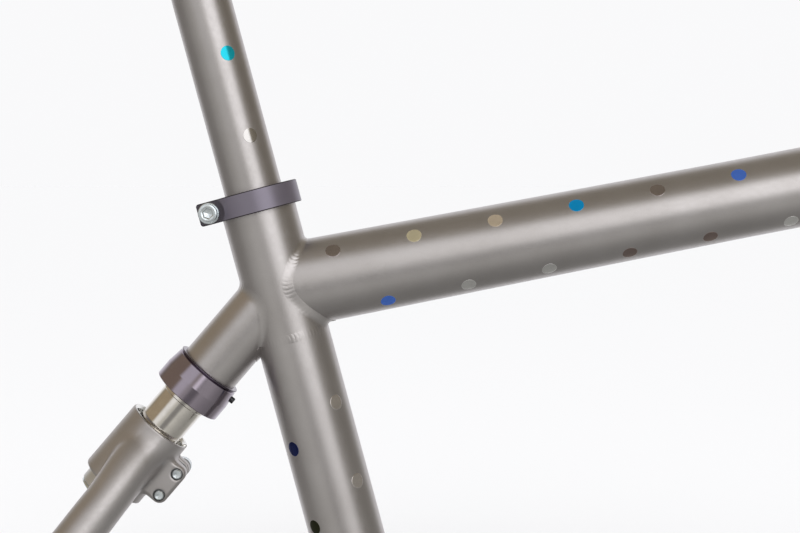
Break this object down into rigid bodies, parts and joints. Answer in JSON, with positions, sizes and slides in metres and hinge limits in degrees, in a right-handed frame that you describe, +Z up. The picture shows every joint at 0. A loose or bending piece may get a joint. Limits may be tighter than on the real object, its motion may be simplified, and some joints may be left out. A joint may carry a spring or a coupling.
{
  "type": "bicycle frame seat cluster",
  "caption": "Joint of a soft-tail bicycle frame: seat tube, top tube and a short sprung strut with its yoke and stay ends, and a clamped seatpost.",
  "frame": {"origin": "centre of the seat tube's square-cut lower mouth", "axes": "+X to the front of the bicycle, +Y to its left side (the drive side faces -Y), +Z up; the seat tube leans back 14.95 degrees"},
  "size_m": [0.3844, 0.0966, 0.3041],
  "materials": {
    "blasted_titanium": "bead-blasted titanium",
    "weld_titanium": "bead-blasted weld",
    "anodised_dark": "dark anodised, satin",
    "polished_steel": "mirror polished",
    "bright_fastener": "bright stainless",
    "black_fastener": "black oxide",
    "spring_steel": "oiled spring steel",
    "elastomer": "cast urethane",
    "bearing_polymer": "turned bearing plastic"
  },
  "bodies": {
    "front_frame": {"seat_tube_sleeve": "blasted_titanium", "seat_tube_lower": "blasted_titanium", "top_tube": "blasted_titanium", "strut_housing": "blasted_titanium", "top_tube_weld": "weld_titanium", "strut_housing_weld": "weld_titanium", "seat_tube_weld": "weld_titanium", "seat_clamp_band": "anodised_dark", "seat_clamp_washer": "bright_fastener", "seat_clamp_bolt": "bright_fastener", "strut_collar": "anodised_dark", "collar_lock_ring": "bright_fastener", "collar_set_screw": "black_fastener", "scraper_ring": "polished_steel", "lower_guide_bush": "bearing_polymer", "spring_seat": "bearing_polymer", "coil_spring": "spring_steel", "bottom_out_bumper": "elastomer", "guide_rod": "bright_fastener", "top_out_bumper": "elastomer"},
    "rear_assembly": {"strut_shaft": "polished_steel", "shaft_glide_ring": "bearing_polymer", "shaft_end_plug": "bright_fastener", "yoke": "blasted_titanium", "pinch_bolts": "bright_fastener", "seat_stay_right": "blasted_titanium", "seat_stay_left": "blasted_titanium"},
    "seatpost_body": {"seatpost": "blasted_titanium"}
  },
  "joints": [
    {"name": "strut_slide", "type": "slide", "parent": "front_frame", "child": "rear_assembly", "axis": [0.6516, 0, 0.7586], "range_m": [0, 0.014], "stiffness_N_per_m": 40000, "springref_m": -0.003, "deforming": ["coil_spring"]},
    {"name": "seatpost_slide", "type": "slide", "parent": "front_frame", "child": "seatpost_body", "axis": [-0.258, 0, 0.9662], "range_m": [-0.03, 0.03]}
  ]
}
